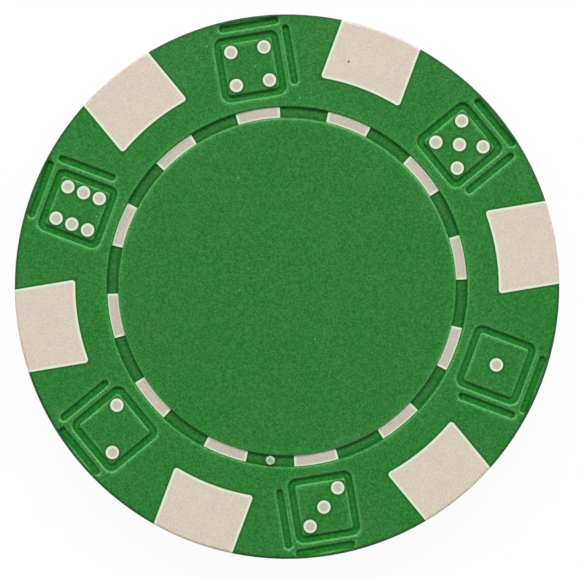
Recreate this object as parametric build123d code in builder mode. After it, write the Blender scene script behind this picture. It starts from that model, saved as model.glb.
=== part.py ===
from build123d import *
import os
from math import cos, radians, sqrt, tan

# A poker chip with a rim of die faces, in millimetres. It lies on its bottom face, with the origin at the
# centre of that face, +Z through its thickness and +X through edge spot 1. It is moulded in two shots round a
# steel slug. The cream first shot grips the slug and stands up through both faces as edge spots, ring blocks
# and pips. The green second shot fills the rest and carries the engraving. Both faces are the same: the bottom
# one is the top one turned over about the X axis.

# ---- chip ----
CHIP_R = 19.5
CHIP_T = 3.3
RIM_EDGE_R = 0.2
SECTORS = 6  # edge spots, and die faces between them
SECTOR_DEG = 360 / SECTORS

# ---- engraving: every channel has this section ----
CHANNEL_DEPTH = 0.3
CHANNEL_DRAFT = 10.0  # of the walls, in degrees from upright
CHANNEL_W = 0.5  # between the walls at the face, before their lips are rounded
CHANNEL_LIP_R = 0.15
# How far a lip's rounding reaches over the face.
LIP_SPREAD = CHANNEL_LIP_R * tan(radians((90 - CHANNEL_DRAFT) / 2))

# ---- die faces: a raised square in a frame channel, a slot towards the rim and a slot beside it ----
PIP_D = 0.96
PIP_PITCH = 1.2
PIP_LAND = 0.025  # flat face between a pip and the square's rounded edge
SQUARE_W = 2 * (PIP_PITCH + PIP_LAND + LIP_SPREAD) + PIP_D
SQUARE_CORNER_R = 0.2
FRAME_W = SQUARE_W + 2 * CHANNEL_W
FRAME_CORNER_R = 0.6
SLOT_L = 4.32
SLOT_LAND = 0.37  # between the frame and the slots
SLOT_OFFSET = (FRAME_W + CHANNEL_W) / 2 + SLOT_LAND
SLOT_CORNER_OUT = 0.214  # how far both slots pass the frame, at the corner between them
SLOT_SHIFT = FRAME_W / 2 + SLOT_CORNER_OUT - SLOT_L / 2
SLOT_RIM_LAND = 0.055  # from the rim to the nearest lip of the rim slot, at its far end
SLOT_END_R = CHIP_R - SLOT_RIM_LAND - LIP_SPREAD - CHANNEL_W / 2
DIE_R = sqrt(SLOT_END_R**2 - (SLOT_SHIFT + (SLOT_L - CHANNEL_W) / 2) ** 2) - SLOT_OFFSET

# ---- ring groove with its blocks ----
GROOVE_LAND = 0.74  # between the groove and the die frames
GROOVE_W = 0.83
GROOVE_R = DIE_R - FRAME_W / 2 - GROOVE_LAND - GROOVE_W / 2  # middle of the groove
BLOCKS = 12
BLOCK_DEG = 14.4  # angle that one block takes up
BLOCK_LAP = 0.035  # the green laps this far over the block, past the groove's mouth
BLOCK_W = GROOVE_W + 2 * BLOCK_LAP
BLOCK_RISE = 0.1  # block top above the groove's floor

# ---- stub that the pin gate leaves in the groove of the top face ----
GATE_DEG = 255.0
GATE_D = 0.6
GATE_H = 0.2
GATE_DRAFT = 12.0

# ---- edge spots ----
SPOT_L = 4.36  # from the rim to the spot's inner end
SPOT_W = 6.0
SPOT_CORNER_R = 0.25
SPOT_IN_R = CHIP_R - SPOT_L

# ---- steel slug and the carrier that grips its edge ----
SKIN_T = 0.55  # green over the carrier, on each face
LIP_T = 0.22  # carrier over the slug's faces
SLUG_T = CHIP_T - 2 * (SKIN_T + LIP_T)
SLUG_EDGE_R = 0.15
GRIP_W = 1.25  # carrier outside the slug's edge
SLUG_R = SPOT_IN_R - GRIP_W
CARRIER_LAP = 0.45  # carrier inwards of the ring blocks
CARRIER_IN_R = GROOVE_R - BLOCK_W / 2 - CARRIER_LAP
PAD_MARGIN = 0.2  # carrier pad outside the pips that stand on it
PAD_W = 2 * (PIP_PITCH + PAD_MARGIN) + PIP_D
PAD_CORNER_R = 0.6

# Pips as (outwards, anticlockwise) steps from the middle of the die face, and the faces in order round the
# chip.
PIPS = {
    "one": [(0, 0)],
    "two": [(1, 1), (-1, -1)],
    "three": [(1, -1), (0, 0), (-1, 1)],
    "four": [(1, 1), (1, -1), (-1, 1), (-1, -1)],
    "five": [(1, 1), (1, -1), (0, 0), (-1, 1), (-1, -1)],
    "six": [(1, 1), (0, 1), (-1, 1), (1, -1), (0, -1), (-1, -1)],
}
FACES_ROUND_CHIP = ["five", "four", "six", "two", "three", "one"]

# ---- the two faces, each as a plane that looks outwards ----
FACES = {
    "top": Plane(origin=(0, 0, CHIP_T), x_dir=(1, 0, 0), z_dir=(0, 0, 1)),
    "bottom": Plane(origin=(0, 0, 0), x_dir=(1, 0, 0), z_dir=(0, 0, -1)),
}

os.makedirs("parts", exist_ok=True)


def save(piece, name):
    """Names a finished piece and writes it to its own file."""
    piece.label = name
    export_step(piece, f"parts/{name}.step")
    return piece


# ---- weight slug ----
with BuildPart() as weight_slug:
    with BuildSketch(Plane.XY.offset(SKIN_T + LIP_T)):
        Circle(SLUG_R)
    extrude(amount=SLUG_T)
    fillet(weight_slug.edges().filter_by(GeomType.CIRCLE), SLUG_EDGE_R)

# ---- slug carrier: a channel round the slug's edge, with a pad under each die face ----
with BuildPart() as slug_carrier:
    with BuildSketch(Plane.XY.offset(SKIN_T)):
        Circle(SPOT_IN_R)
        with PolarLocations(DIE_R, SECTORS, start_angle=SECTOR_DEG / 2):
            RectangleRounded(PAD_W, PAD_W, PAD_CORNER_R)
        Circle(CARRIER_IN_R, mode=Mode.SUBTRACT)
    extrude(amount=CHIP_T - 2 * SKIN_T)
    add(weight_slug.part, mode=Mode.SUBTRACT)

# ---- plain disc that the body and the edge spots are cut from, so that their rims run on ----
with BuildPart() as chip_blank:
    with BuildSketch():
        Circle(CHIP_R)
    extrude(amount=CHIP_T)
    fillet(chip_blank.edges().filter_by(GeomType.CIRCLE), RIM_EDGE_R)


def make_edge_spot(number):
    """One straight-sided spot through the whole thickness, from the carrier out to the rim."""
    start = SPOT_IN_R * cos(radians(SECTOR_DEG / 2))
    with BuildPart() as spot:
        with BuildSketch(Plane.XY.rotated((0, 0, (number - 1) * SECTOR_DEG))):
            with Locations(((start + CHIP_R + SPOT_L) / 2, 0)):
                Rectangle(CHIP_R + SPOT_L - start, SPOT_W)
            Circle(SPOT_IN_R, mode=Mode.SUBTRACT)
        extrude(amount=CHIP_T)
        inner_corners = spot.edges().filter_by(Axis.Z).sort_by_distance((0, 0, CHIP_T / 2))[:2]
        fillet(inner_corners, SPOT_CORNER_R)
        add(chip_blank.part, mode=Mode.INTERSECT)
    return save(spot.part, f"edge_spot_{number}")


def make_ring_block(side, number):
    """One block of the ring groove: a piece of ring that stands on the carrier's lip."""
    start = (number - 1) * 360 / BLOCKS - BLOCK_DEG / 2
    with BuildPart() as block:
        with BuildSketch(FACES[side].offset(-SKIN_T)):
            with BuildLine():
                outer = CenterArc((0, 0), GROOVE_R + BLOCK_W / 2, start, BLOCK_DEG)
                inner = CenterArc((0, 0), GROOVE_R - BLOCK_W / 2, start, BLOCK_DEG)
                Line(outer @ 0, inner @ 0)
                Line(outer @ 1, inner @ 1)
            make_face()
        extrude(amount=SKIN_T - CHANNEL_DEPTH + BLOCK_RISE)
    return save(block.part, f"ring_block_{side}_{number:02d}")


def make_pips(side, index):
    """The pips of one die face, as separate posts from the carrier's pad to the face."""
    name = FACES_ROUND_CHIP[index]
    places = [(out * PIP_PITCH, turn * PIP_PITCH) for out, turn in PIPS[name]]
    with BuildPart() as pips:
        with BuildSketch(FACES[side].offset(-SKIN_T)):
            with PolarLocations(DIE_R, 1, start_angle=(index + 0.5) * SECTOR_DEG):
                with Locations(*places):
                    Circle(PIP_D / 2)
        extrude(amount=SKIN_T)
    return save(pips.part, f"pips_{name}_{side}")


save(weight_slug.part, "weight_slug")
save(slug_carrier.part, "slug_carrier")
edge_spots = [make_edge_spot(n) for n in range(1, SECTORS + 1)]
ring_blocks = [make_ring_block(side, n) for side in FACES for n in range(1, BLOCKS + 1)]
pip_groups = [make_pips(side, i) for side in FACES for i in range(SECTORS)]

# ---- chip body ----
with BuildPart() as chip_body:
    with BuildSketch():
        Circle(CHIP_R)
    extrude(amount=CHIP_T)

    for face in FACES.values():
        # ring groove
        with BuildSketch(Plane(origin=face.origin, x_dir=face.x_dir, z_dir=-face.y_dir)):
            with Locations((GROOVE_R, 0)):
                Trapezoid(
                    GROOVE_W,
                    CHANNEL_DEPTH,
                    90 - CHANNEL_DRAFT,
                    rotation=180,
                    align=(Align.CENTER, Align.MIN),
                )
        revolve(axis=Axis.Z, mode=Mode.SUBTRACT)

        # die frames: a pocket with drafted walls, with the raised square left standing in it
        with BuildSketch(face):
            with PolarLocations(DIE_R, SECTORS, start_angle=SECTOR_DEG / 2):
                RectangleRounded(FRAME_W, FRAME_W, FRAME_CORNER_R)
        extrude(amount=-CHANNEL_DEPTH, taper=CHANNEL_DRAFT, mode=Mode.SUBTRACT)
        with BuildSketch(face):
            with PolarLocations(DIE_R, SECTORS, start_angle=SECTOR_DEG / 2):
                RectangleRounded(SQUARE_W, SQUARE_W, SQUARE_CORNER_R)
        extrude(amount=-CHANNEL_DEPTH, taper=-CHANNEL_DRAFT)

        # the slot towards the rim and the slot beside the frame
        with BuildSketch(face):
            with PolarLocations(DIE_R, SECTORS, start_angle=SECTOR_DEG / 2):
                with Locations((SLOT_OFFSET, -SLOT_SHIFT)):
                    SlotOverall(SLOT_L, CHANNEL_W, rotation=90)
                with Locations((SLOT_SHIFT, -SLOT_OFFSET)):
                    SlotOverall(SLOT_L, CHANNEL_W)
        extrude(amount=-CHANNEL_DEPTH, taper=CHANNEL_DRAFT, mode=Mode.SUBTRACT)

    # rounded lips: every edge in the lowest or the highest face, except the longest, which is the rim
    for level in (0, -1):
        face_edges = chip_body.edges().group_by(Axis.Z)[level]
        fillet(face_edges.sort_by(SortBy.LENGTH)[:-1], CHANNEL_LIP_R)
    add(chip_blank.part, mode=Mode.INTERSECT)

    # gate stub on the groove's floor
    with BuildSketch(FACES["top"].offset(GATE_H - CHANNEL_DEPTH)):
        with PolarLocations(GROOVE_R, 1, start_angle=GATE_DEG):
            Circle(GATE_D / 2)
    extrude(amount=-GATE_H, taper=-GATE_DRAFT)

    # room for everything that the green flows round
    add([weight_slug.part, slug_carrier.part], mode=Mode.SUBTRACT)
    add(edge_spots, mode=Mode.SUBTRACT)
    add(ring_blocks, mode=Mode.SUBTRACT)
    add(pip_groups, mode=Mode.SUBTRACT)

save(chip_body.part, "chip_body")
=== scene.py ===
"""A casino chip moulded in two shots of ABS round a steel slug, with a rim of die faces.

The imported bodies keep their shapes. Each operator gives its bodies the finish of what they are really made of and
how they were made, and the last one lays the chip on a pale table under a soft strip light.
"""

from math import asin, atan2, cos, degrees, hypot, pi, radians, sin, tan

import bpy
from mathutils import Matrix, Vector


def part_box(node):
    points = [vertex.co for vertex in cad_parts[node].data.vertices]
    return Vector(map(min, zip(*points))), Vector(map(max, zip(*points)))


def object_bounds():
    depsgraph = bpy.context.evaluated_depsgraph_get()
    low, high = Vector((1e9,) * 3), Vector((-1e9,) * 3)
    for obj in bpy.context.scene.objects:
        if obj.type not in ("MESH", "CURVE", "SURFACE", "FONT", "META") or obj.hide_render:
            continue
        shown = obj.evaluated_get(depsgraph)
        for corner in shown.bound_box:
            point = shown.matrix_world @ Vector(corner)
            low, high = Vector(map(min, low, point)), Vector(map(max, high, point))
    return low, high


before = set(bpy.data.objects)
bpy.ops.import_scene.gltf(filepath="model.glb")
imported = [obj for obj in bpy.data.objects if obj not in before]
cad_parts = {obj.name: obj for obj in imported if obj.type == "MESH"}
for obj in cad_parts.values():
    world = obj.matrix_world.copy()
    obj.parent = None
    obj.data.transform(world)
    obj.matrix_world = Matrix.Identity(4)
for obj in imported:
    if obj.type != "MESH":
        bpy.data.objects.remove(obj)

bl_info = {
    "name": "Dice-Rim Casino Chip",
    "version": (1, 0, 0),
    "blender": (4, 5, 0),
    "location": "3D View > Sidebar > Chip",
    "description": "Moulded and metal finishes for a casino chip, and the table and light that show it",
    "category": "Object",
}

MM = 0.001  # one millimetre in metres
CAD_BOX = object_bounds()


def packed(node):
    """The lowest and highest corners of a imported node, in millimetres."""
    low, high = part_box(node)
    return low / MM, high / MM


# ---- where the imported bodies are, in millimetres: the patterns below are laid out from these ----
CHIP_R = (CAD_BOX[1].y - CAD_BOX[0].y) / 2 / MM
CHIP_T = (CAD_BOX[1].z - CAD_BOX[0].z) / MM

spot_low, spot_high = packed("edge_spot_1")
SPOT_W = spot_high.y - spot_low.y
SPOT_IN_R = min(hypot(v.co.x, v.co.y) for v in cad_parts["edge_spot_1"].data.vertices) / MM

block_low, block_high = packed("ring_block_top_01")
BLOCK_HALF = asin(block_high.y / block_high.x)  # half of the angle that a block takes up
BLOCK_OUT_R = block_high.x
BLOCK_IN_R = block_low.x / cos(BLOCK_HALF)

pip_low, pip_high = packed("pips_one_top")
PIP_R = (pip_high.x - pip_low.x) / 2
DIE_R = hypot((pip_low.x + pip_high.x) / 2, (pip_low.y + pip_high.y) / 2)

four_low, four_high = packed("pips_four_top")
PIP_PITCH = (four_high.x - four_low.x) / 2 - PIP_R

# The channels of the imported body: widths at the face, and where the slots lie from the middle of their die face.
CHANNEL_W = 0.5
GROOVE_W = 0.83
GROOVE_R = (BLOCK_IN_R + BLOCK_OUT_R) / 2
SQUARE_W = 3.662
FRAME_W = SQUARE_W + 2 * CHANNEL_W
FRAME_CORNER_R = 0.6
SQUARE_CORNER_R = 0.2
SLOT_L = 4.32
SLOT_OFFSET = 2.951
SLOT_SHIFT = 0.385

# How far in from the rim's wall things start and end on its rounded edge.
FACE_INSET = 0.3  # the face's tones and painted light end
WORN_INSET = 0.25  # burnishing and painted sheen end
EDGE_SHADE_INSETS = (0.28, 0.12)  # the painted shade on the rim's rounded edges fades in
WALL_INSETS = (0.1, 0.02)  # the wall's rub marks and parting line fade in

# Small marks on the top face, as x, y and radius.
DUST = (
    (0.36, 15.92, 0.05),
    (-2.16, 8.25, 0.05),
    (-12.61, 7.21, 0.045),
    (-2.84, 17.89, 0.05),
    (3.14, 13.16, 0.045),
    (-2.52, 1.75, 0.04),
    (-3.36, 0.32, 0.04),
    (1.33, -4.02, 0.045),
    (-2.24, 9.90, 0.03),
)
FLECK = (7.00, 15.14, 0.085)

SPOTS = [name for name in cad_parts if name.startswith("edge_spot_")]
BLOCKS = [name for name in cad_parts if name.startswith("ring_block_")]
PIPS = [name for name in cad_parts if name.startswith("pips_")]


def pip_middles():
    """The middle of each pip of the top face, in millimetres, from the lattice cells that their bodies fill."""
    middles = set()
    for name in PIPS:
        if not name.endswith("_top"):
            continue
        low, high = packed(name)
        middle = (low + high) / 2
        bearing = radians(60 * round(degrees(atan2(middle.y, middle.x)) / 60 - 0.5) + 30)
        outwards = Vector((cos(bearing), sin(bearing), 0))
        sideways = Vector((-outwards.y, outwards.x, 0))
        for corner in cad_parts[name].data.vertices:
            place = corner.co / MM
            out = round((place.dot(outwards) - DIE_R) / PIP_PITCH) * PIP_PITCH + DIE_R
            across = round(place.dot(sideways) / PIP_PITCH) * PIP_PITCH
            pip = outwards * out + sideways * across
            middles.add((round(pip.x, 3), round(pip.y, 3)))
    return sorted(middles)


def linear(code):
    """An sRGB hex colour as linear red, green, blue and alpha."""
    parts = [int(code[i : i + 2], 16) / 255 for i in (1, 3, 5)]
    return tuple(p / 12.92 if p <= 0.04045 else ((p + 0.055) / 1.055) ** 2.4 for p in parts) + (1.0,)


def add(tree, kind, feeds=(), **settings):
    """Adds a node with its settings, and fills its inputs, by name or number, with values or links."""
    made = tree.nodes.new("ShaderNode" + kind)
    for name, value in settings.items():
        setattr(made, name, value)
    for key, value in dict(feeds).items():
        if isinstance(key, int):
            socket = made.inputs[key]
        else:
            socket = next(s for s in made.inputs if s.enabled and s.name == key)
        if isinstance(value, bpy.types.Node):
            value = next(s for s in value.outputs if s.enabled)
        if isinstance(value, bpy.types.NodeSocket):
            tree.links.new(value, socket)
        else:
            socket.default_value = value
    return made


# ---------------------------------------------------------------------------------------------------------------
# Sizes and colours that a user would change
# ---------------------------------------------------------------------------------------------------------------


class ChipPlastics(bpy.types.PropertyGroup):
    """The two shots of ABS."""

    green: bpy.props.FloatVectorProperty(
        name="Green, crests",
        description="Second shot on the crests of its grain",
        default=linear("#338139"),
        size=4,
        subtype="COLOR",
        min=0,
        max=1,
    )
    green_crater: bpy.props.FloatVectorProperty(
        name="Green, craters",
        description="Second shot down in the craters of its grain",
        default=linear("#0B6413"),
        size=4,
        subtype="COLOR",
        min=0,
        max=1,
    )
    green_seam_and_shadow: bpy.props.FloatVectorProperty(
        name="Green, seam and shadow",
        description="Second shot where it shrank away from the cream, with dirt held in the hairline seam; also the painted shadow round the gate stub's foot",
        default=linear("#1E561F"),
        size=4,
        subtype="COLOR",
        min=0,
        max=1,
    )
    green_worn_and_sheen: bpy.props.FloatVectorProperty(
        name="Green, burnished and painted sheen",
        description="The same green where handling has polished its lips and edges; on the lips it is also a painted sheen",
        default=linear("#5CAA62"),
        size=4,
        subtype="COLOR",
        min=0,
        max=1,
    )
    green_torn: bpy.props.FloatVectorProperty(
        name="Green, torn",
        description="Stress-whitened green where the pin gate was torn off",
        default=linear("#C8F5C2"),
        size=4,
        subtype="COLOR",
        min=0,
        max=1,
    )
    cream: bpy.props.FloatVectorProperty(
        name="Cream",
        description="Pigment of the first shot",
        default=linear("#D8CBBA"),
        size=4,
        subtype="COLOR",
        min=0,
        max=1,
    )
    cream_pip: bpy.props.FloatVectorProperty(
        name="Cream, pips",
        description="The first shot in the middle of a pip, dulled by handling",
        default=linear("#C6BFAC"),
        size=4,
        subtype="COLOR",
        min=0,
        max=1,
    )
    cream_shaded_in_groove: bpy.props.FloatVectorProperty(
        name="Cream, painted shade in the groove",
        description="The first shot darker and greener as painted shade, down in the ring groove",
        default=linear("#C8BDB0"),
        size=4,
        subtype="COLOR",
        min=0,
        max=1,
    )
    cream_edge_highlight: bpy.props.FloatVectorProperty(
        name="Cream, painted edge highlight",
        description="Painted highlight along the edges of the first shot, as a paler line",
        default=linear("#E0F4D4"),
        size=4,
        subtype="COLOR",
        min=0,
        max=1,
    )
    cream_wetted: bpy.props.FloatVectorProperty(
        name="Cream, outermost edge",
        description="Hair-thin edge of the first shot, tinted by the green that wetted it",
        default=linear("#9CBF90"),
        size=4,
        subtype="COLOR",
        min=0,
        max=1,
    )
    dust: bpy.props.FloatVectorProperty(
        name="Dust",
        description="Pale specks of dust and pigment on the green",
        default=linear("#7CC080"),
        size=4,
        subtype="COLOR",
        min=0,
        max=1,
    )
    fleck: bpy.props.FloatVectorProperty(
        name="Fleck",
        description="Scorched fleck in the cream",
        default=linear("#6A5840"),
        size=4,
        subtype="COLOR",
        min=0,
        max=1,
    )
    grain_width: bpy.props.FloatProperty(
        name="Grain width",
        description="Width of a crater of the mould's spark-eroded texture",
        default=0.18 * MM,  # a coarse grade of such texture, drawn at its real width
        min=0.02 * MM,
        max=1 * MM,
        precision=6,
        subtype="DISTANCE",
        unit="LENGTH",
    )
    grain_depth: bpy.props.FloatProperty(
        name="Grain depth",
        description="Depth of the texture from crater to crest",
        default=0.026 * MM,
        min=0,
        max=0.1 * MM,
        precision=6,
        subtype="DISTANCE",
        unit="LENGTH",
    )
    gate_bearing: bpy.props.FloatProperty(
        name="Gate bearing",
        description="Where the gate stub stands in the ring groove, anticlockwise from edge spot 1",
        default=radians(255),
        subtype="ANGLE",
        unit="ROTATION",
    )


class ChipSteel(bpy.types.PropertyGroup):
    """The weight slug's sheet steel."""

    steel: bpy.props.FloatVectorProperty(
        name="Steel",
        description="Cold-rolled mild steel",
        default=linear("#A9A9A6"),
        size=4,
        subtype="COLOR",
        min=0,
        max=1,
    )
    roll_line: bpy.props.FloatProperty(
        name="Roll line",
        description="Spacing of the lines that the rolls leave along the sheet",
        default=0.12 * MM,  # real lines lie about 0.02 mm apart, too fine to show, so they are drawn coarser
        min=0.02 * MM,
        max=1 * MM,
        precision=6,
        subtype="DISTANCE",
        unit="LENGTH",
    )


class ChipStudio(bpy.types.PropertyGroup):
    """Table, light and camera."""

    table: bpy.props.FloatVectorProperty(
        name="Table",
        description="Colour of the table",
        default=linear("#E8E8E6"),
        size=4,
        subtype="COLOR",
        min=0,
        max=1,
    )
    key_bearing: bpy.props.FloatProperty(
        name="Key bearing",
        description="Where the key light stands, anticlockwise from edge spot 1",
        default=radians(80.5),
        subtype="ANGLE",
        unit="ROTATION",
    )
    key_height: bpy.props.FloatProperty(
        name="Key height",
        description="Height of the key light above the table's plane",
        default=radians(45),
        subtype="ANGLE",
        unit="ROTATION",
    )
    key_spread: bpy.props.FloatProperty(
        name="Key spread",
        description="Angle from end to end of the strip light, as the chip sees it",
        default=radians(110),
        subtype="ANGLE",
        unit="ROTATION",
    )
    key_size: bpy.props.FloatProperty(
        name="Key size",
        description="Angle across the strip light, as the chip sees it",
        default=radians(14),
        subtype="ANGLE",
        unit="ROTATION",
    )
    key_distance: bpy.props.FloatProperty(
        name="Key distance",
        description="How far the strip light stands from the chip",
        default=1,
        min=0.2,
        max=5,
        subtype="DISTANCE",
        unit="LENGTH",
    )
    key_share: bpy.props.FloatProperty(
        name="Key share",
        description="Share of the light on a flat face that comes from the key; the rest is soft light from all round",
        default=0.61,
        min=0,
        max=1,
        subtype="FACTOR",
    )
    lens: bpy.props.FloatProperty(
        name="Lens",
        description="Focal length of the camera",
        default=120,
        min=20,
        max=400,
        subtype="DISTANCE_CAMERA",
    )
    view_width: bpy.props.FloatProperty(
        name="View width",
        description="Width that the camera sees at the chip's top face",
        default=41.47 * MM,
        min=10 * MM,
        max=500 * MM,
        precision=5,
        subtype="DISTANCE",
        unit="LENGTH",
    )
    view_bearing: bpy.props.FloatProperty(
        name="View bearing",
        description="Direction that lies to the right in the picture, anticlockwise from edge spot 1",
        default=radians(-9.5),
        subtype="ANGLE",
        unit="ROTATION",
    )
    slide_right: bpy.props.FloatProperty(
        name="Slide right",
        description="How far right of the chip's middle the camera stands",
        default=0.211 * MM,
        precision=5,
        subtype="DISTANCE",
        unit="LENGTH",
    )
    slide_up: bpy.props.FloatProperty(
        name="Slide up",
        description="How far above the chip's middle the camera stands, in the picture",
        default=-0.2405 * MM,
        precision=5,
        subtype="DISTANCE",
        unit="LENGTH",
    )


# ---------------------------------------------------------------------------------------------------------------
# Patterns
# ---------------------------------------------------------------------------------------------------------------


def start_nodes(holder):
    """An empty node tree for a material or a world."""
    holder.use_nodes = True
    holder.node_tree.nodes.clear()
    return holder.node_tree


def start_material(name):
    """A new material, its tree, and the place on the chip in millimetres."""
    material = bpy.data.materials.new(name)
    tree = start_nodes(material)
    coordinates = add(tree, "TexCoord")
    mm = add(tree, "VectorMath", {0: coordinates.outputs["Object"], "Scale": 1 / MM}, operation="SCALE")
    return material, tree, mm


def onto_first(tree, mm, count, turned=0.0):
    """Turns each of count like sectors onto the one along +X, for outwards, sideways and up in millimetres.

    turned is where the first sector's middle is, as a share of a sector's angle."""
    place = add(tree, "SeparateXYZ", {0: mm})
    flat = add(tree, "CombineXYZ", {"X": place.outputs["X"], "Y": place.outputs["Y"]})
    radius = add(tree, "VectorMath", {0: flat}, operation="LENGTH").outputs["Value"]
    angle = add(tree, "Math", {0: place.outputs["Y"], 1: place.outputs["X"]}, operation="ARCTAN2")
    turns = add(tree, "Math", {0: angle, 1: count / (2 * pi), 2: -turned}, operation="MULTIPLY_ADD")
    whole = add(tree, "Math", {0: turns}, operation="ROUND")
    part = add(tree, "Math", {0: turns, 1: whole}, operation="SUBTRACT")
    bearing = add(tree, "Math", {0: part, 1: 2 * pi / count}, operation="MULTIPLY")
    cosine = add(tree, "Math", {0: bearing}, operation="COSINE")
    sine = add(tree, "Math", {0: bearing}, operation="SINE")
    return {
        "radius": radius,
        "angle": angle,
        "bearing": bearing,
        "outwards": add(tree, "Math", {0: radius, 1: cosine}, operation="MULTIPLY"),
        "sideways": add(tree, "Math", {0: radius, 1: sine}, operation="MULTIPLY"),
        "up": place.outputs["Z"],
    }


def outside_box(tree, flat, middle, half, corner):
    """How far outside a rounded rectangle a point is, and below 0 inside it."""
    off = add(tree, "VectorMath", {0: flat, 1: (*middle, 0)}, operation="SUBTRACT")
    unsigned = add(tree, "VectorMath", {0: off}, operation="ABSOLUTE")
    straight = (half[0] - corner, half[1] - corner, 0)
    past = add(tree, "VectorMath", {0: unsigned, 1: straight}, operation="SUBTRACT")
    parts = add(tree, "SeparateXYZ", {0: past})
    deepest = add(tree, "Math", {0: parts.outputs["X"], 1: parts.outputs["Y"]}, operation="MAXIMUM")
    within = add(tree, "Math", {0: deepest, 1: 0.0}, operation="MINIMUM")
    beyond = add(tree, "VectorMath", {0: past, 1: (0, 0, 0)}, operation="MAXIMUM")
    length = add(tree, "VectorMath", {0: beyond}, operation="LENGTH").outputs["Value"]
    total = add(tree, "Math", {0: within, 1: length}, operation="ADD")
    return add(tree, "Math", {0: total, 1: corner}, operation="SUBTRACT")


def outside_channels(tree, place, side):
    """How far a point is from the mouth of the nearest engraved line and of the ring groove, below 0 over them.

    place is what onto_first gives for the six sectors that have a die face in the middle, and side is 1 on the
    top half of the chip and -1 on the bottom half."""
    # The bottom face is the top one turned over, so its slots lie on the other side of their die faces.
    sideways = add(tree, "Math", {0: place["sideways"], 1: side}, operation="MULTIPLY")
    flat = add(tree, "CombineXYZ", {"X": place["outwards"], "Y": sideways})
    die = (DIE_R, 0)
    frame_wall = outside_box(tree, flat, die, (FRAME_W / 2, FRAME_W / 2), FRAME_CORNER_R)
    square = outside_box(tree, flat, die, (SQUARE_W / 2, SQUARE_W / 2), SQUARE_CORNER_R)
    inside_square = add(tree, "Math", {0: square, 1: -1.0}, operation="MULTIPLY")
    engraved = add(tree, "Math", {0: frame_wall, 1: inside_square}, operation="MAXIMUM")
    for middle, half in (
        ((DIE_R + SLOT_OFFSET, -SLOT_SHIFT), (CHANNEL_W / 2, SLOT_L / 2)),
        ((DIE_R + SLOT_SHIFT, -SLOT_OFFSET), (SLOT_L / 2, CHANNEL_W / 2)),
    ):
        slot = outside_box(tree, flat, middle, half, CHANNEL_W / 2)
        engraved = add(tree, "Math", {0: engraved, 1: slot}, operation="MINIMUM")
    off_groove = add(tree, "Math", {0: place["radius"], 1: GROOVE_R}, operation="SUBTRACT")
    unsigned = add(tree, "Math", {0: off_groove}, operation="ABSOLUTE")
    groove = add(tree, "Math", {0: unsigned, 1: GROOVE_W / 2}, operation="SUBTRACT")
    return engraved, groove


def inside_spot(tree, mm):
    """How far inside the sides and the inner end of its edge spot a point is."""
    place = onto_first(tree, mm, 6)
    off_axis = add(tree, "Math", {0: place["sideways"]}, operation="ABSOLUTE")
    from_side = add(tree, "Math", {0: SPOT_W / 2, 1: off_axis}, operation="SUBTRACT")
    from_end = add(tree, "Math", {0: place["radius"], 1: SPOT_IN_R}, operation="SUBTRACT")
    return add(tree, "Math", {0: from_side, 1: from_end}, operation="MINIMUM")


def inside_block(tree, mm):
    """How far inside the groove's walls and the ends of its ring block a point is."""
    place = onto_first(tree, mm, 12)
    from_out = add(tree, "Math", {0: BLOCK_OUT_R, 1: place["radius"]}, operation="SUBTRACT")
    from_in = add(tree, "Math", {0: place["radius"], 1: BLOCK_IN_R}, operation="SUBTRACT")
    off_axis = add(tree, "Math", {0: place["bearing"]}, operation="ABSOLUTE")
    to_end = add(tree, "Math", {0: BLOCK_HALF, 1: off_axis}, operation="SUBTRACT")
    from_end = add(tree, "Math", {0: to_end, 1: place["radius"]}, operation="MULTIPLY")
    nearer_wall = add(tree, "Math", {0: from_out, 1: from_in}, operation="MINIMUM")
    return add(tree, "Math", {0: nearer_wall, 1: from_end}, operation="MINIMUM")


def inside_pip(tree, mm):
    """How far inside its pip's rim a point is. The pips stand on one lattice round each die face's middle."""
    place = onto_first(tree, mm, 6, 0.5)
    steps = []
    for way, start in (("outwards", DIE_R), ("sideways", 0.0)):
        count = add(tree, "Math", {0: place[way], 1: 1 / PIP_PITCH, 2: -start / PIP_PITCH}, operation="MULTIPLY_ADD")
        whole = add(tree, "Math", {0: count}, operation="ROUND")
        steps.append(add(tree, "Math", {0: count, 1: whole}, operation="SUBTRACT"))
    off = add(tree, "CombineXYZ", {"X": steps[0], "Y": steps[1]})
    steps_off = add(tree, "VectorMath", {0: off}, operation="LENGTH").outputs["Value"]
    return add(tree, "Math", {0: steps_off, 1: -PIP_PITCH, 2: PIP_R}, operation="MULTIPLY_ADD")


def outside_pips(tree, mm, side):
    """How far outside the nearest pip a point of the green is, seen from above."""
    place = add(tree, "SeparateXYZ", {0: mm})
    turned_over = add(tree, "Math", {0: place.outputs["Y"], 1: side}, operation="MULTIPLY")
    flat = add(tree, "CombineXYZ", {"X": place.outputs["X"], "Y": turned_over})
    nearest = CHIP_R
    for x, y in pip_middles():
        off = add(tree, "VectorMath", {0: flat, 1: (x, y, 0)}, operation="DISTANCE").outputs["Value"]
        nearest = add(tree, "Math", {0: off, 1: nearest}, operation="MINIMUM")
    return add(tree, "Math", {0: nearest, 1: PIP_R}, operation="SUBTRACT")


def along(tree, distance, stops):
    """A tone that changes with a distance, from stops of distance and tone."""
    first, last = stops[0][0], stops[-1][0]
    share = add(tree, "MapRange", {"Value": distance, "From Min": first, "From Max": last})
    tones = add(tree, "ValToRGB", {0: share})
    ramp = tones.color_ramp.elements
    while len(ramp) < len(stops):
        ramp.new(0.5)
    for element, (at, tone) in zip(ramp, stops):
        element.position = (at - first) / (last - first)
        element.color = (tone / 2, tone / 2, tone / 2, 1)  # a ramp's colours stop at 1, so they hold half the tone
    return add(tree, "Math", {0: tones, 1: 2.0}, operation="MULTIPLY")


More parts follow.
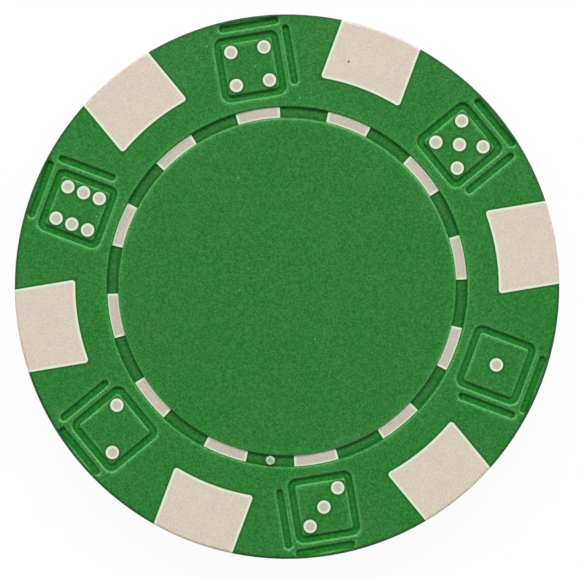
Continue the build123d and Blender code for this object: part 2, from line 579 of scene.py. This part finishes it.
def spark_grain(tree, mm, width):
    """Crests and craters that spark erosion left in the mould, as wide as width, from 0 to 1."""
    swell = add(tree, "TexNoise", {"Vector": mm, "Scale": 1 / width, "Detail": 2.0, "Roughness": 0.55})
    feeds = {"Vector": mm, "Scale": 1.4 / width, "Smoothness": 0.6}
    craters = add(tree, "TexVoronoi", feeds, feature="SMOOTH_F1")
    swollen = add(tree, "Math", {0: swell, 1: 0.75}, operation="MULTIPLY")
    return add(tree, "Math", {0: craters, 1: 0.45, 2: swollen}, operation="MULTIPLY_ADD")


def hairlines(tree, mm):
    """Fine scratches from being slid and stacked, worn away in patches, from 0 to 1.

    Three sets of wandering lines cross each other. The lines of a set lie about half a millimetre apart, run some
    8 mm, and are about 0.01 mm wide, as real ones are."""
    share = 0.0
    for turned, shift in ((0.5, 0.0), (1.7, 7.0), (2.6, 3.0)):
        drawn_out = {"Location": (shift, 0, 0), "Rotation": (0, 0, turned), "Scale": (0.12, 2.2, 0)}
        way = add(tree, "Mapping", {"Vector": mm, **drawn_out})
        wander = add(tree, "TexNoise", {"Vector": way, "Scale": 1.0, "Detail": 1.0, "Roughness": 0.4})
        off = add(tree, "Math", {0: wander, 1: 0.5}, operation="SUBTRACT")
        near = add(tree, "Math", {0: off}, operation="ABSOLUTE")
        line = add(tree, "MapRange", {"Value": near, "From Min": 0.012, "From Max": 0.003})
        patch = add(tree, "TexNoise", {"Vector": mm, "Scale": 0.35 + 0.1 * shift, "Detail": 1.0})
        kept = add(tree, "MapRange", {"Value": patch, "From Min": 0.56, "From Max": 0.66})
        scratch = add(tree, "Math", {0: line, 1: kept}, operation="MULTIPLY")
        share = add(tree, "Math", {0: scratch, 1: share}, operation="MAXIMUM")
    return share


def marks(tree, mm, places):
    """Small round marks on the top face, each at x, y with a radius, in millimetres."""
    share = 0.0
    for x, y, radius in places:
        off = add(tree, "VectorMath", {0: mm, 1: (x, y, CHIP_T)}, operation="DISTANCE").outputs["Value"]
        edge = {"From Min": 1.25 * radius, "From Max": 0.7 * radius}
        mark = add(tree, "MapRange", {"Value": off, **edge}, interpolation_type="SMOOTHSTEP")
        share = add(tree, "Math", {0: mark, 1: share}, operation="MAXIMUM")
    return share


def facing_up(tree):
    """How far a surface faces straight up or down: 1 on the flat faces, 0 on upright walls."""
    normal = add(tree, "SeparateXYZ", {0: add(tree, "NewGeometry").outputs["Normal"]})
    return add(tree, "Math", {0: normal.outputs["Z"]}, operation="ABSOLUTE")


def rounded(tree, facing):
    """1 on the rounded lips and edges, 0 on the flat faces and on the upright walls."""
    flat = {"From Min": 0.99, "From Max": 0.86}
    off_flat = add(tree, "MapRange", {"Value": facing, **flat}, interpolation_type="SMOOTHSTEP")
    upright = {"From Min": 0.25, "From Max": 0.5}
    off_wall = add(tree, "MapRange", {"Value": facing, **upright}, interpolation_type="SMOOTHSTEP")
    return add(tree, "Math", {0: off_flat, 1: off_wall}, operation="MULTIPLY")


# ---------------------------------------------------------------------------------------------------------------
# Materials
# ---------------------------------------------------------------------------------------------------------------

ABS_IOR = 1.53

# What a pattern's values span from its troughs to its crests.
NOISE_SPAN = {"From Min": 0.3, "From Max": 0.7}
GRAIN_SPAN = {"From Min": 0.38, "From Max": 0.82}

# Factors on the green's brightness beside and over the engraved lines and the ring groove, each at its distance from
# their mouth in millimetres, below 0 over them: a painted highlight on the lips, and painted shade in the corners.
LINE_PAINTED_LIGHT = ((-0.25, 1.10), (-0.13, 1.05), (-0.03, 1.27), (0.07, 1.80), (0.18, 1.30), (0.32, 1.0))
GROOVE_PAINTED_LIGHT = (
    (-0.40, 0.92),
    (-0.22, 0.88),
    (-0.12, 0.68),
    (-0.02, 0.88),
    (0.08, 1.58),
    (0.19, 1.14),
    (0.40, 1.07),
    (0.90, 1.0),
)
# Factors on its saturation at the same distances. It is deepest in the corners, which light only reaches off other
# green, and thinnest on worn lips.
DEPTHS_OF_GREEN = (
    (-0.30, 0.97),
    (-0.14, 1.08),
    (-0.08, 1.14),
    (-0.02, 1.06),
    (0.07, 0.91),
    (0.20, 0.97),
    (0.35, 1.0),
)
# The rim zone, from the ring groove out, is handled most and is polished a little paler.
RIM_ZONE_TONE = {"From Min": 12.9, "From Max": 13.6, "To Min": 1.0, "To Max": 1.03}

# How much of the burnished green shows on a lip and along a scratch; on a lip it is partly wear and partly a painted
# sheen. The groove's outer lip, in a band of the given half width, lacks most of it.
LIP_POLISH_AND_SHEEN = 0.3
SCRATCH_POLISH = 0.12
OUTER_LIP_BAND = 0.3
OUTER_LIP_REDUCTION = 0.85

# The hairline seam round the cream: how far it reaches into the green, how much of it shows beside the cream, and the
# width of its darkest part, in millimetres.
SPOT_SEAM = (0.20, 0.88)
BLOCK_SEAM = (0.18, 0.7)
PIP_SEAM = (0.26, 0.8)
SEAM_CORE = 0.08

# The gate stub's torn top lies this far below the face. The others are distances from its middle, in millimetres.
STUB_DEPTH = 0.15
STUB_EDGE = {"From Min": 0.40, "From Max": 0.33}
STUB_DIMPLE_SHADE = {"From Min": 0.14, "From Max": 0.26, "To Min": 0.7}
STUB_FOOT_SHADOW = {"From Min": 0.64, "From Max": 0.44, "To Max": 0.9}

# Heights of the green's relief, in millimetres. Wear rolls the face down towards a channel, over the last
# LIP_REACH of it.
RUB_HEIGHT = 0.006
PARTING_HEIGHT = 0.02
TORN_HEIGHT = 0.12
LIP_FALL = -0.07
LIP_REACH = 0.3

# The steel for the first shot was eroded a grade finer: these are shares of the green's grain width and depth.
CREAM_WIDTH = 0.8
CREAM_DEPTH = 0.4


def green_pigment(tree, look, mm, grain, channel):
    """The second shot's own colour: darker in the craters, with a slow drift where the melt flowed from the gate."""
    crests = add(tree, "MapRange", {"Value": grain, "From Min": 0.42, "From Max": 0.78})
    toned = add(tree, "Mix", {"Factor": crests, "A": look.green_crater, "B": look.green}, data_type="RGBA")
    # The drift and the milky clouds are a few millimetres across, as flow marks are.
    drift = add(tree, "TexNoise", {"Vector": mm, "Scale": 0.3, "Detail": 3.0, "Roughness": 0.5})
    hue = add(tree, "MapRange", {"Value": drift, **NOISE_SPAN, "To Min": 0.497, "To Max": 0.503})
    milky = add(tree, "TexNoise", {"Vector": mm, "Scale": 0.4, "Detail": 3.0, "Roughness": 0.45})
    strength = add(tree, "MapRange", {"Value": milky, **NOISE_SPAN, "To Min": 0.97, "To Max": 1.03})
    depth = along(tree, channel, DEPTHS_OF_GREEN)
    saturation = add(tree, "Math", {0: strength, 1: depth}, operation="MULTIPLY")
    return toned, hue, saturation


def green_tone_and_painted_light(tree, place, engraved, groove, facing):
    """The green's brightness: painted highlight on lips, painted shade in corners and on the rim's edges."""
    # Painted highlight on the lips and painted shade in the corners of the engraved lines and the ring groove.
    line_painted_light = along(tree, engraved, LINE_PAINTED_LIGHT)
    groove_painted_light = along(tree, groove, GROOVE_PAINTED_LIGHT)
    zone_tone = add(tree, "MapRange", {"Value": place["radius"], **RIM_ZONE_TONE})
    both_painted_lights = add(tree, "Math", {0: line_painted_light, 1: groove_painted_light}, operation="MULTIPLY")
    face_tone_and_painted_light = add(tree, "Math", {0: both_painted_lights, 1: zone_tone}, operation="MULTIPLY")
    on_face = add(tree, "Math", {0: place["radius"], 1: CHIP_R - FACE_INSET}, operation="LESS_THAN")
    tone_and_painted_light_on_face = add(tree, "Mix", {"Factor": on_face, "A": 1.0, "B": face_tone_and_painted_light}, data_type="FLOAT")
    # Painted shade: a dark line round the rim's rounded edges, and none on its wall.
    fade = {"From Min": CHIP_R - EDGE_SHADE_INSETS[0], "From Max": CHIP_R - EDGE_SHADE_INSETS[1], "To Min": 1.0, "To Max": 0.5}
    dirt = add(tree, "MapRange", {"Value": place["radius"], **fade}, interpolation_type="SMOOTHSTEP")
    wall = add(tree, "MapRange", {"Value": facing, "From Min": 0.5, "From Max": 0.15})
    rim_painted_shade = add(tree, "Mix", {"Factor": wall, "A": dirt, "B": 1.0}, data_type="FLOAT")
    return add(tree, "Math", {0: tone_and_painted_light_on_face, 1: rim_painted_shade}, operation="MULTIPLY")


def cream_seam(tree, mm, groove, side):
    """The hairline seam that the green leaves round every piece of the cream, from 0 to 1."""
    beside_spot = add(tree, "Math", {0: inside_spot(tree, mm), 1: -1.0}, operation="MULTIPLY")
    beside_block = add(tree, "Math", {0: inside_block(tree, mm), 1: -1.0}, operation="MULTIPLY")
    # The blocks' seam is down in the groove, so a point on the face counts as a millimetre further off.
    on_face = add(tree, "Math", {0: groove, 1: -0.05}, operation="GREATER_THAN")
    down_beside_block = add(tree, "Math", {0: on_face, 1: beside_block}, operation="ADD")
    beside_pip = outside_pips(tree, mm, side)
    seam = 0.0
    for distance, (reach, most) in (
        (beside_spot, SPOT_SEAM),
        (down_beside_block, BLOCK_SEAM),
        (beside_pip, PIP_SEAM),
    ):
        fade = {"From Min": reach, "From Max": SEAM_CORE, "To Max": most}
        line = add(tree, "MapRange", {"Value": distance, **fade}, interpolation_type="SMOOTHSTEP")
        seam = add(tree, "Math", {0: line, 1: seam}, operation="MAXIMUM")
    return seam


def make_green_abs(look):
    """ABS, pigmented right through and moulded against spark-eroded steel.

    The eye gets an even mid green with no gloss on the flats, a fine salt-and-pepper grain, brighter lips where
    handling has rubbed the grain off and where a highlight is painted on, painted shade in the corners, round the
    rim's edges and round the gate stub, and a pale torn stub where the pin gate broke away."""
    material, tree, mm = start_material("green ABS, spark-eroded finish")
    place = onto_first(tree, mm, 6, 0.5)
    grain = spark_grain(tree, mm, look.grain_width / MM)
    facing = facing_up(tree)
    above = add(tree, "Math", {0: place["up"], 1: CHIP_T / 2}, operation="SUBTRACT")
    side = add(tree, "Math", {0: above}, operation="SIGN")
    level = add(tree, "Math", {0: above}, operation="ABSOLUTE")
    engraved, groove = outside_channels(tree, place, side)

    channel = add(tree, "Math", {0: engraved, 1: groove}, operation="MINIMUM")
    toned, hue, saturation = green_pigment(tree, look, mm, grain, channel)
    # Painted highlight and painted shade, as a factor on the green's brightness.
    painted_light_and_tone = green_tone_and_painted_light(tree, place, engraved, groove, facing)
    green = add(tree, "HueSaturation", {"Hue": hue, "Saturation": saturation, "Value": painted_light_and_tone, "Color": toned})

    # Wear and painted sheen: lips are made paler, partly by burnishing and partly as a painted sheen, and smoother;
    # the groove's outer one less, and the rim's edge not at all.
    inside_rim = add(tree, "Math", {0: place["radius"], 1: CHIP_R - WORN_INSET}, operation="LESS_THAN")
    on_outer_lip = add(tree, "Math", {0: place["radius"], 1: BLOCK_OUT_R, 2: OUTER_LIP_BAND}, operation="COMPARE")
    less_there = add(tree, "Math", {0: on_outer_lip, 1: -OUTER_LIP_REDUCTION, 2: 1.0}, operation="MULTIPLY_ADD")
    reached = add(tree, "Math", {0: inside_rim, 1: less_there}, operation="MULTIPLY")
    lip = add(tree, "Math", {0: rounded(tree, facing), 1: reached}, operation="MULTIPLY")
    scratched = add(tree, "Math", {0: hairlines(tree, mm), 1: SCRATCH_POLISH}, operation="MULTIPLY")
    wear_and_sheen_share = add(tree, "Math", {0: lip, 1: LIP_POLISH_AND_SHEEN, 2: scratched}, operation="MULTIPLY_ADD")
    worn = add(tree, "Mix", {"Factor": wear_and_sheen_share, "A": green, "B": look.green_worn_and_sheen}, data_type="RGBA")

    seam = cream_seam(tree, mm, groove, side)
    seamed = add(tree, "Mix", {"Factor": seam, "A": worn, "B": look.green_seam_and_shadow}, data_type="RGBA")
    dusted = add(tree, "Mix", {"Factor": marks(tree, mm, DUST), "A": seamed, "B": look.dust}, data_type="RGBA")

    # The gate stub: torn plastic, whitened by the stress, with painted shade for a dimple in its middle and a painted
    # shadow round its foot. The tears are about 0.15 mm across.
    bearing = look.gate_bearing
    gate = Vector((GROOVE_R * cos(bearing), GROOVE_R * sin(bearing), CHIP_T - STUB_DEPTH))
    from_gate = add(tree, "VectorMath", {0: mm, 1: gate}, operation="DISTANCE").outputs["Value"]
    tears = add(tree, "TexNoise", {"Vector": mm, "Scale": 6.5, "Detail": 4.0, "Roughness": 0.7})
    stub = add(tree, "MapRange", {"Value": from_gate, **STUB_EDGE}, interpolation_type="SMOOTHSTEP")
    torn = add(tree, "MapRange", {"Value": tears, "From Min": 0.42, "From Max": 0.53, "To Min": 0.45})
    torn_stub = add(tree, "Math", {0: stub, 1: torn}, operation="MULTIPLY")
    # Painted shade in the stub's middle, where its whitening is weaker.
    dimple_shade = add(tree, "MapRange", {"Value": from_gate, **STUB_DIMPLE_SHADE})
    whitened = add(tree, "Math", {0: torn_stub, 1: dimple_shade}, operation="MULTIPLY")
    # Painted shadow round the stub's foot.
    foot_shadow = add(tree, "MapRange", {"Value": from_gate, **STUB_FOOT_SHADOW}, interpolation_type="SMOOTHSTEP")
    foot_shadowed = add(tree, "Mix", {"Factor": foot_shadow, "A": dusted, "B": look.green_seam_and_shadow}, data_type="RGBA")
    colour = add(tree, "Mix", {"Factor": whitened, "A": foot_shadowed, "B": look.green_torn}, data_type="RGBA")

    # Rim: rub marks run round it, about a millimetre long and 0.14 mm high, and the mould's two halves leave a fine
    # parting line at half thickness.
    around = add(tree, "Math", {0: place["angle"], 1: CHIP_R}, operation="MULTIPLY")
    drawn_out = add(tree, "Math", {0: place["up"], 1: 9.0}, operation="MULTIPLY")
    rubbed = add(tree, "CombineXYZ", {"X": around, "Y": drawn_out})
    rubs = add(tree, "TexNoise", {"Vector": rubbed, "Scale": 0.8, "Detail": 3.0, "Roughness": 0.6})
    fade = {"From Min": CHIP_R - WALL_INSETS[0], "From Max": CHIP_R - WALL_INSETS[1]}
    on_rim = add(tree, "MapRange", {"Value": place["radius"], **fade}, interpolation_type="SMOOTHSTEP")
    line = {"From Min": 0.05, "From Max": 0.015}
    parting = add(tree, "MapRange", {"Value": level, **line}, interpolation_type="SMOOTHSTEP")

    # Gloss: none on the grain, a little on burnished lips and on the rubbed rim.
    rough = add(tree, "MapRange", {"Value": grain, **GRAIN_SPAN, "To Min": 0.62, "To Max": 0.50})
    smooth = add(tree, "Math", {0: lip, 1: on_rim}, operation="MAXIMUM")
    rub_rough = add(tree, "MapRange", {"Value": rubs, **NOISE_SPAN, "To Min": 0.34, "To Max": 0.46})
    roughness = add(tree, "Mix", {"Factor": smooth, "A": rough, "B": rub_rough}, data_type="FLOAT")

    # Relief, in millimetres. The grain is rubbed down where the surface is smooth.
    depth = look.grain_depth / MM
    kept = add(tree, "Math", {0: smooth, 1: -0.6 * depth, 2: depth}, operation="MULTIPLY_ADD")
    relief = add(tree, "Math", {0: grain, 1: kept}, operation="MULTIPLY")
    softened = add(tree, "Math", {0: groove, 1: on_outer_lip}, operation="ADD")
    nearest = add(tree, "Math", {0: engraved, 1: softened}, operation="MINIMUM")
    near = add(tree, "MapRange", {"Value": nearest, "From Min": LIP_REACH, "From Max": 0.0})
    rolled = add(tree, "Math", {0: near, 1: 2.0}, operation="POWER")
    on_top = add(tree, "Math", {0: level, 1: CHIP_T / 2 - 0.2}, operation="GREATER_THAN")
    for pattern, where, height in (
        (rubs, on_rim, RUB_HEIGHT),
        (parting, on_rim, PARTING_HEIGHT),
        (tears, stub, TORN_HEIGHT),
        (rolled, on_top, LIP_FALL),
    ):
        shown = add(tree, "Math", {0: pattern, 1: where}, operation="MULTIPLY")
        relief = add(tree, "Math", {0: shown, 1: height, 2: relief}, operation="MULTIPLY_ADD")
    bump = add(tree, "Bump", {"Height": relief, "Strength": 1.0, "Distance": MM})

    finish = {
        "Base Color": colour,
        "Roughness": roughness,
        "Normal": bump,
        "IOR": ABS_IOR,
        "Specular IOR Level": 0.2,  # the grain scatters and traps most of the gloss
        "Coat Weight": lip,  # the glossy skin of the burnished lips
        "Coat Roughness": 0.26,
    }
    add(tree, "OutputMaterial", {"Surface": add(tree, "BsdfPrincipled", finish)})
    return material


def make_cream_abs(look, name, pigment, edge_inside):
    """ABS of the first shot, moulded against finer spark-eroded steel.

    The eye gets a warm off-white with a faint pink and yellow mottle, a fine matte grain and a painted highlight
    along every edge. edge_inside takes the tree and the place in millimetres, and gives how far inside the nearest
    edge a point is."""
    material, tree, mm = start_material(name)
    grain = spark_grain(tree, mm, CREAM_WIDTH * look.grain_width / MM)
    tone = add(tree, "MapRange", {"Value": grain, **GRAIN_SPAN, "To Min": 0.88, "To Max": 1.09})
    # The mottle is about a millimetre across, as the streaks of badly mixed pigment are.
    mottle = add(tree, "TexNoise", {"Vector": mm, "Scale": 1.1, "Detail": 4.0, "Roughness": 0.6})
    hue = add(tree, "MapRange", {"Value": mottle, **NOISE_SPAN, "To Min": 0.474, "To Max": 0.526})
    cream = add(tree, "HueSaturation", {"Hue": hue, "Value": tone, "Color": pigment})

    # The painted edge highlight is about 0.2 mm wide, and its outermost 0.07 mm is tinted by the green.
    inside = edge_inside(tree, mm)
    skin = {"From Min": 0.24, "From Max": 0.07, "To Max": 0.95}
    # Painted highlight along every edge of the cream.
    edge = add(tree, "MapRange", {"Value": inside, **skin}, interpolation_type="SMOOTHSTEP")
    edge_highlighted = add(tree, "Mix", {"Factor": edge, "A": cream, "B": look.cream_edge_highlight}, data_type="RGBA")
    tinted = {"From Min": 0.07, "From Max": 0.0, "To Max": 0.6}
    wetted = add(tree, "MapRange", {"Value": inside, **tinted}, interpolation_type="SMOOTHSTEP")
    blended = add(tree, "Mix", {"Factor": wetted, "A": edge_highlighted, "B": look.cream_wetted}, data_type="RGBA")
    colour = add(tree, "Mix", {"Factor": marks(tree, mm, [FLECK]), "A": blended, "B": look.fleck}, data_type="RGBA")

    relief = add(tree, "Math", {0: grain, 1: CREAM_DEPTH * look.grain_depth / MM}, operation="MULTIPLY")
    finish = {
        "Base Color": colour,
        "Roughness": add(tree, "MapRange", {"Value": grain, **GRAIN_SPAN, "To Min": 0.58, "To Max": 0.46}),
        "Normal": add(tree, "Bump", {"Height": relief, "Strength": 1.0, "Distance": MM}),
        "IOR": ABS_IOR,
        "Specular IOR Level": 0.25,
    }
    add(tree, "OutputMaterial", {"Surface": add(tree, "BsdfPrincipled", finish)})
    return material


def make_slug_steel(look):
    """Mild steel sheet, cold-rolled, then blanked to a disc.

    The eye gets a grey metal with fine straight roll lines, dull enough to blur every reflection."""
    material, tree, mm = start_material("mild steel, cold-rolled and blanked")
    lines = add(tree, "VectorMath", {0: mm, 1: (0.02, 1.0, 0.02)}, operation="MULTIPLY")
    scale = MM / look.roll_line
    rolled = add(tree, "TexNoise", {"Vector": lines, "Scale": scale, "Detail": 4.0, "Roughness": 0.65})
    # Oil stains, a few millimetres across.
    stain = add(tree, "TexNoise", {"Vector": mm, "Scale": 0.3, "Detail": 4.0, "Roughness": 0.6})
    tone = add(tree, "MapRange", {"Value": stain, **NOISE_SPAN, "To Min": 0.88, "To Max": 1.06})
    relief = add(tree, "Math", {0: rolled, 1: 0.004}, operation="MULTIPLY")
    finish = {
        "Base Color": add(tree, "HueSaturation", {"Value": tone, "Color": look.steel}),
        "Roughness": add(tree, "MapRange", {"Value": rolled, **NOISE_SPAN, "To Min": 0.3, "To Max": 0.48}),
        "Normal": add(tree, "Bump", {"Height": relief, "Strength": 1.0, "Distance": MM}),
        "Metallic": 1.0,
    }
    add(tree, "OutputMaterial", {"Surface": add(tree, "BsdfPrincipled", finish)})
    return material


def finish_nodes(names, material):
    """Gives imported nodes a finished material."""
    for name in names:
        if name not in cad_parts:
            raise RuntimeError(f"the packed model has no {name}")
        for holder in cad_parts[name].material_slots:
            holder.material = material


# ---------------------------------------------------------------------------------------------------------------
# Studio
# ---------------------------------------------------------------------------------------------------------------

TABLE_HALF = 1.5  # metres, as is its thickness
TABLE_THICKNESS = 0.02
TABLE_GAP = 0.01 * MM  # below the chip's bottom face, so that the two don't share a plane
SHADOW_SHARE = 0.05  # how much of the table's white a full shadow takes away
SENSOR_WIDTH = 36  # millimetres


def seen_rays(tree):
    """1 for the rays that show the studio to the camera, straight or in a reflection or through something clear."""
    path = add(tree, "LightPath").outputs
    indirect = add(tree, "Math", {0: path["Is Glossy Ray"], 1: path["Is Transmission Ray"]}, operation="MAXIMUM")
    return add(tree, "Math", {0: path["Is Camera Ray"], 1: indirect}, operation="MAXIMUM")


def lay_table(scene, studio):
    """A wide flat board, just under the chip's bottom face."""
    top = CAD_BOX[0].z - TABLE_GAP
    corners = ((-1, -1), (1, -1), (1, 1), (-1, 1))
    points = [(x * TABLE_HALF, y * TABLE_HALF, z) for z in (top - TABLE_THICKNESS, top) for x, y in corners]
    faces = [(3, 2, 1, 0), (4, 5, 6, 7), (0, 1, 5, 4), (1, 2, 6, 5), (2, 3, 7, 6), (3, 0, 4, 7)]
    board = bpy.data.meshes.new("table")
    board.from_pydata(points, [], faces)
    table = bpy.data.objects.new("table", board)
    scene.collection.objects.link(table)

    # Its paint lights the chip as a pale matt board does. What looks at it sees it as white, less a share of the
    # chip's shadow.
    material = bpy.data.materials.new("pale matt paint")
    tree = start_nodes(material)
    paint = add(tree, "BsdfDiffuse", {"Color": studio.table})
    shaded = add(tree, "BsdfDiffuse", {"Color": (SHADOW_SHARE, SHADOW_SHARE, SHADOW_SHARE, 1)})
    bright = add(tree, "Emission", {"Color": (1, 1, 1, 1), "Strength": 1 - SHADOW_SHARE})
    seen = add(tree, "AddShader", {0: shaded, 1: bright})
    both = add(tree, "MixShader", {0: seen_rays(tree), 1: paint, 2: seen})
    add(tree, "OutputMaterial", {"Surface": both})
    board.materials.append(material)


def light_studio(scene, studio):
    """Soft light from all round, and a long strip soft box."""
    world = bpy.data.worlds.new("white studio")
    scene.world = world
    tree = start_nodes(world)
    # The camera and reflections see it white. The rest of what it gives is soft light.
    strength = add(tree, "MapRange", {"Value": seen_rays(tree), "To Min": 1 - studio.key_share, "To Max": 1.0})
    sky = add(tree, "Background", {"Color": (1, 1, 1, 1), "Strength": strength})
    add(tree, "OutputWorld", {"Surface": sky})

    # The key is as bright as its share of the light on a flat face. The power that this takes follows from the light
    # that reaches the chip from each length of the strip.
    distance, reach = studio.key_distance, studio.key_spread / 2
    key = bpy.data.lights.new("key light", "AREA")
    key.shape = "RECTANGLE"
    key.size = 2 * distance * tan(reach)
    key.size_y = 2 * distance * tan(studio.key_size / 2)
    gathered = sin(studio.key_height) * (reach + sin(reach) * cos(reach))
    key.energy = 2 * pi**2 * studio.key_share * distance**2 * tan(reach) / gathered
    lamp = bpy.data.objects.new("key light", key)
    scene.collection.objects.link(lamp)
    level = cos(studio.key_height)
    towards = Vector((level * cos(studio.key_bearing), level * sin(studio.key_bearing), sin(studio.key_height)))
    lamp.location = towards * distance
    lamp.rotation_euler = towards.to_track_quat("Z", "Y").to_euler()


def aim_camera(scene, studio):
    """A camera straight above the chip."""
    camera = bpy.data.cameras.new("camera")
    camera.lens = studio.lens
    camera.sensor_width = SENSOR_WIDTH
    camera.clip_start = MM
    camera.clip_end = 20
    eye = bpy.data.objects.new("camera", camera)
    scene.collection.objects.link(eye)
    right = Vector((cos(studio.view_bearing), sin(studio.view_bearing), 0))
    up = Vector((-sin(studio.view_bearing), cos(studio.view_bearing), 0))
    middle = (CAD_BOX[0] + CAD_BOX[1]) / 2
    height = CAD_BOX[1].z + studio.view_width * studio.lens / SENSOR_WIDTH
    spot = Vector((middle.x, middle.y, height)) + right * studio.slide_right + up * studio.slide_up
    eye.matrix_world = Matrix.Translation(spot) @ Matrix((right, up, Vector((0, 0, 1)))).transposed().to_4x4()
    scene.camera = eye


# ---------------------------------------------------------------------------------------------------------------
# Operators
# ---------------------------------------------------------------------------------------------------------------


class CHIP_OT_green_body(bpy.types.Operator):
    """Finishes the green second shot"""

    bl_idname = "chip.green_body"
    bl_label = "Green Body"

    def execute(self, context):
        finish_nodes(["chip_body"], make_green_abs(context.scene.chip_plastics))
        return {"FINISHED"}


class CHIP_OT_edge_spots(bpy.types.Operator):
    """Finishes the six cream spots that run out to the rim"""

    bl_idname = "chip.edge_spots"
    bl_label = "Edge Spots"

    def execute(self, context):
        look = context.scene.chip_plastics
        finish_nodes(SPOTS, make_cream_abs(look, "cream ABS, edge spots", look.cream, inside_spot))
        return {"FINISHED"}


class CHIP_OT_ring_blocks(bpy.types.Operator):
    """Finishes the cream blocks in the ring groove of both faces"""

    bl_idname = "chip.ring_blocks"
    bl_label = "Ring Blocks"

    def execute(self, context):
        look = context.scene.chip_plastics
        # The blocks take a darker, greener copy of the cream, as painted shade down in the ring groove.
        finish_nodes(BLOCKS, make_cream_abs(look, "cream ABS, ring blocks", look.cream_shaded_in_groove, inside_block))
        return {"FINISHED"}


class CHIP_OT_pips(bpy.types.Operator):
    """Finishes the pips of the twelve die faces"""

    bl_idname = "chip.pips"
    bl_label = "Pips"

    def execute(self, context):
        look = context.scene.chip_plastics
        finish_nodes(PIPS, make_cream_abs(look, "cream ABS, pips", look.cream_pip, inside_pip))
        return {"FINISHED"}


class CHIP_OT_slug_carrier(bpy.types.Operator):
    """Finishes the cream ring that grips the slug"""

    bl_idname = "chip.slug_carrier"
    bl_label = "Slug Carrier"

    def execute(self, context):
        look = context.scene.chip_plastics
        finish_nodes(["slug_carrier"], make_cream_abs(look, "cream ABS, slug carrier", look.cream, inside_spot))
        return {"FINISHED"}


class CHIP_OT_weight_slug(bpy.types.Operator):
    """Finishes the steel disc inside the chip"""

    bl_idname = "chip.weight_slug"
    bl_label = "Weight Slug"

    def execute(self, context):
        finish_nodes(["weight_slug"], make_slug_steel(context.scene.chip_steel))
        return {"FINISHED"}


class CHIP_OT_stage(bpy.types.Operator):
    """Lays the chip on a pale table, and sets the light and the camera over it"""

    bl_idname = "chip.stage"
    bl_label = "Table, Light and Camera"

    def execute(self, context):
        scene = context.scene
        scene.view_settings.view_transform = "Standard"
        lay_table(scene, scene.chip_studio)
        light_studio(scene, scene.chip_studio)
        aim_camera(scene, scene.chip_studio)
        return {"FINISHED"}


class CHIP_PT_finishes(bpy.types.Panel):
    """Lists what finishes the chip, with its sizes and colours"""

    bl_idname = "CHIP_PT_finishes"
    bl_label = "Casino Chip"
    bl_space_type = "VIEW_3D"
    bl_region_type = "UI"
    bl_category = "Chip"

    def draw(self, context):
        layout = self.layout
        scene = context.scene
        for heading, group, operators in (
            ("Plastics", scene.chip_plastics, PLASTIC_OPERATORS),
            ("Steel", scene.chip_steel, STEEL_OPERATORS),
            ("Studio", scene.chip_studio, STUDIO_OPERATORS),
        ):
            box = layout.box()
            box.label(text=heading)
            for name in group.__annotations__:
                box.prop(group, name)
            for operator in operators:
                box.operator(operator.bl_idname)


PLASTIC_OPERATORS = (
    CHIP_OT_green_body,
    CHIP_OT_edge_spots,
    CHIP_OT_ring_blocks,
    CHIP_OT_pips,
    CHIP_OT_slug_carrier,
)
STEEL_OPERATORS = (CHIP_OT_weight_slug,)
STUDIO_OPERATORS = (CHIP_OT_stage,)
CLASSES = (
    (ChipPlastics, ChipSteel, ChipStudio)
    + PLASTIC_OPERATORS
    + STEEL_OPERATORS
    + STUDIO_OPERATORS
    + (CHIP_PT_finishes,)
)


def register():
    for cls in CLASSES:
        bpy.utils.register_class(cls)
    bpy.types.Scene.chip_plastics = bpy.props.PointerProperty(type=ChipPlastics)
    bpy.types.Scene.chip_steel = bpy.props.PointerProperty(type=ChipSteel)
    bpy.types.Scene.chip_studio = bpy.props.PointerProperty(type=ChipStudio)


def unregister():
    del bpy.types.Scene.chip_studio
    del bpy.types.Scene.chip_steel
    del bpy.types.Scene.chip_plastics
    for cls in reversed(CLASSES):
        bpy.utils.unregister_class(cls)


def main():
    """Finishes the whole chip."""
    register()
    bpy.ops.chip.green_body()
    bpy.ops.chip.edge_spots()
    bpy.ops.chip.ring_blocks()
    bpy.ops.chip.pips()
    bpy.ops.chip.slug_carrier()
    bpy.ops.chip.weight_slug()
    bpy.ops.chip.stage()


if __name__ == "__main__":
    main()
